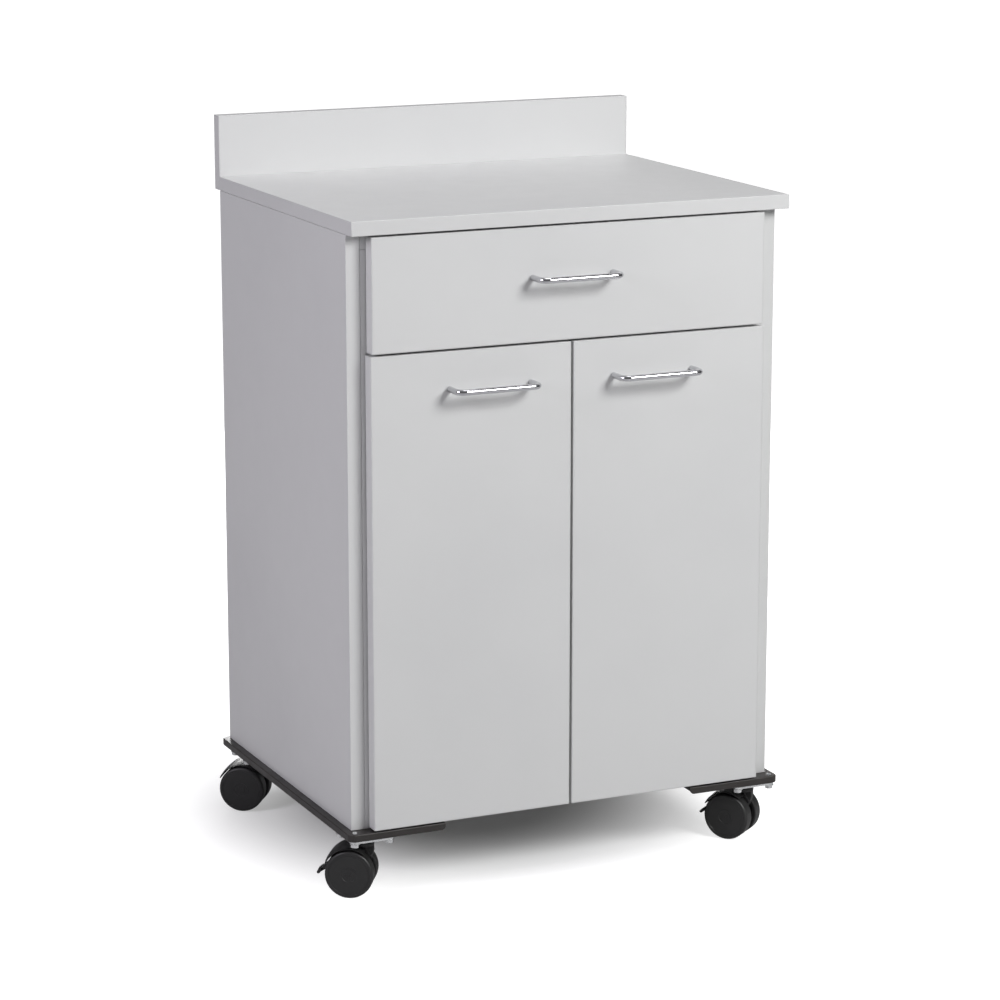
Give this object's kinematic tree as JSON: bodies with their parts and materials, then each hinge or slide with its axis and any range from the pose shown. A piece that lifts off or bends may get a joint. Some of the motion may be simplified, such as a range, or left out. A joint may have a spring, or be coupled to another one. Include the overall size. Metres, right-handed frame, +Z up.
{
  "type": "mobile bedside cabinet",
  "caption": "Laminated cabinet on casters with a worktop, raised backsplash, one drawer above two doors and an adjustable shelf.",
  "frame": {"origin": "bottom centre of the box around the whole cabinet, on the floor", "axes": "+Z up, +X to the right as seen from the front, +Y towards the backsplash; the drawer and doors face -Y"},
  "size_m": [0.6546, 0.5314, 0.972],
  "materials": {
    "laminate": "light grey laminated board, fine matt texture",
    "box_board": "white melamine board, matt",
    "chrome": "polished chrome plate",
    "zinc": "bright zinc plate",
    "black_steel": "black powder coat, satin",
    "black_nylon": "moulded black nylon, fine spark texture",
    "wheel_nylon": "moulded black nylon, satin"
  },
  "bodies": {
    "cabinet": {"left_side_panel": "laminate", "left_inner_side": "laminate", "right_side_panel": "laminate", "right_inner_side": "laminate", "bottom_panel": "laminate", "top_panel": "laminate", "back_panel": "laminate", "adjustable_shelf": "laminate", "worktop": "laminate", "backsplash": "laminate", "left_slide_cabinet_member": "zinc", "right_slide_cabinet_member": "zinc", "left_lower_hinge_arm": "zinc", "left_upper_hinge_arm": "zinc", "left_base_rail": "black_steel", "right_lower_hinge_arm": "zinc", "right_upper_hinge_arm": "zinc", "right_base_rail": "black_steel", "front_left_caster_plate": "zinc", "front_right_caster_plate": "zinc", "rear_left_caster_plate": "zinc", "rear_right_caster_plate": "zinc"},
    "drawer": {"drawer_front": "laminate", "drawer_left_side": "box_board", "drawer_right_side": "box_board", "drawer_back": "box_board", "drawer_bottom": "box_board", "drawer_handle": "chrome", "left_slide_drawer_member": "zinc", "right_slide_drawer_member": "zinc"},
    "left_door": {"left_door": "laminate", "left_door_handle": "chrome", "left_lower_hinge_cup": "zinc", "left_upper_hinge_cup": "zinc"},
    "left_hinge_links": {"left_lower_hinge_link": "zinc", "left_upper_hinge_link": "zinc"},
    "right_door": {"right_door": "laminate", "right_door_handle": "chrome", "right_lower_hinge_cup": "zinc", "right_upper_hinge_cup": "zinc"},
    "right_hinge_links": {"right_lower_hinge_link": "zinc", "right_upper_hinge_link": "zinc"},
    "front_left_swivel": {"front_left_hood": "black_nylon", "front_left_axle": "zinc"},
    "front_left_wheels": {"front_left_outer_wheel": "wheel_nylon", "front_left_inner_wheel": "wheel_nylon"},
    "front_left_lever": {"front_left_brake_lever": "black_nylon"},
    "front_right_swivel": {"front_right_hood": "black_nylon", "front_right_axle": "zinc"},
    "front_right_wheels": {"front_right_outer_wheel": "wheel_nylon", "front_right_inner_wheel": "wheel_nylon"},
    "front_right_lever": {"front_right_brake_lever": "black_nylon"},
    "rear_left_swivel": {"rear_left_hood": "black_nylon", "rear_left_axle": "zinc"},
    "rear_left_wheels": {"rear_left_outer_wheel": "wheel_nylon", "rear_left_inner_wheel": "wheel_nylon"},
    "rear_right_swivel": {"rear_right_hood": "black_nylon", "rear_right_axle": "zinc"},
    "rear_right_wheels": {"rear_right_outer_wheel": "wheel_nylon", "rear_right_inner_wheel": "wheel_nylon"}
  },
  "joints": [
    {"name": "drawer_slide", "type": "slide", "parent": "cabinet", "child": "drawer", "axis": [0, -1, 0], "range_m": [0, 0.3]},
    {"name": "left_door_hinge", "type": "hinge", "parent": "cabinet", "child": "left_door", "pos_m": [-0.26536, -0.21605, 0.0925], "axis": [0, 0, -1], "range_deg": [0, 100]},
    {"name": "right_door_hinge", "type": "hinge", "parent": "cabinet", "child": "right_door", "pos_m": [0.29044, -0.21605, 0.0925], "axis": [0, 0, 1], "range_deg": [0, 100]},
    {"name": "left_link_turn", "type": "hinge", "parent": "cabinet", "child": "left_hinge_links", "pos_m": [-0.25206, -0.21085, 0.0925], "axis": [0, 0, -1], "range_deg": [0, 100]},
    {"name": "right_link_turn", "type": "hinge", "parent": "cabinet", "child": "right_hinge_links", "pos_m": [0.27714, -0.21085, 0.0925], "axis": [0, 0, 1], "range_deg": [0, 100]},
    {"name": "front_left_swivel_turn", "type": "hinge", "parent": "cabinet", "child": "front_left_swivel", "pos_m": [-0.26826, -0.19825, 0.07], "axis": [0, 0, 1], "continuous": true},
    {"name": "front_right_swivel_turn", "type": "hinge", "parent": "cabinet", "child": "front_right_swivel", "pos_m": [0.29334, -0.19825, 0.07], "axis": [0, 0, 1], "continuous": true},
    {"name": "rear_left_swivel_turn", "type": "hinge", "parent": "cabinet", "child": "rear_left_swivel", "pos_m": [-0.26826, 0.19975, 0.07], "axis": [0, 0, 1], "continuous": true},
    {"name": "rear_right_swivel_turn", "type": "hinge", "parent": "cabinet", "child": "rear_right_swivel", "pos_m": [0.29334, 0.19975, 0.07], "axis": [0, 0, 1], "continuous": true},
    {"name": "front_left_wheel_roll", "type": "hinge", "parent": "front_left_swivel", "child": "front_left_wheels", "pos_m": [-0.28352, -0.18872, 0.032], "axis": [-0.5299, -0.848, 0], "continuous": true},
    {"name": "front_right_wheel_roll", "type": "hinge", "parent": "front_right_swivel", "child": "front_right_wheels", "pos_m": [0.28226, -0.18407, 0.032], "axis": [-0.788, -0.6157, 0], "continuous": true},
    {"name": "rear_left_wheel_roll", "type": "hinge", "parent": "rear_left_swivel", "child": "rear_left_wheels", "pos_m": [-0.28282, 0.21033, 0.032], "axis": [-0.5878, -0.809, 0], "continuous": true},
    {"name": "rear_right_wheel_roll", "type": "hinge", "parent": "rear_right_swivel", "child": "rear_right_wheels", "pos_m": [0.27955, 0.21132, 0.032], "axis": [-0.6428, -0.766, 0], "continuous": true},
    {"name": "front_left_brake", "type": "hinge", "parent": "front_left_swivel", "child": "front_left_lever", "pos_m": [-0.30388, -0.176, 0.043], "axis": [-0.5299, -0.848, 0], "range_deg": [0, 15]},
    {"name": "front_right_brake", "type": "hinge", "parent": "front_right_swivel", "child": "front_right_lever", "pos_m": [0.26749, -0.16516, 0.043], "axis": [-0.788, -0.6157, 0], "range_deg": [0, 15]}
  ],
  "couplings": [
    {"joint": "left_link_turn", "follows": "left_door_hinge", "ratio": 1},
    {"joint": "right_link_turn", "follows": "right_door_hinge", "ratio": 1}
  ]
}
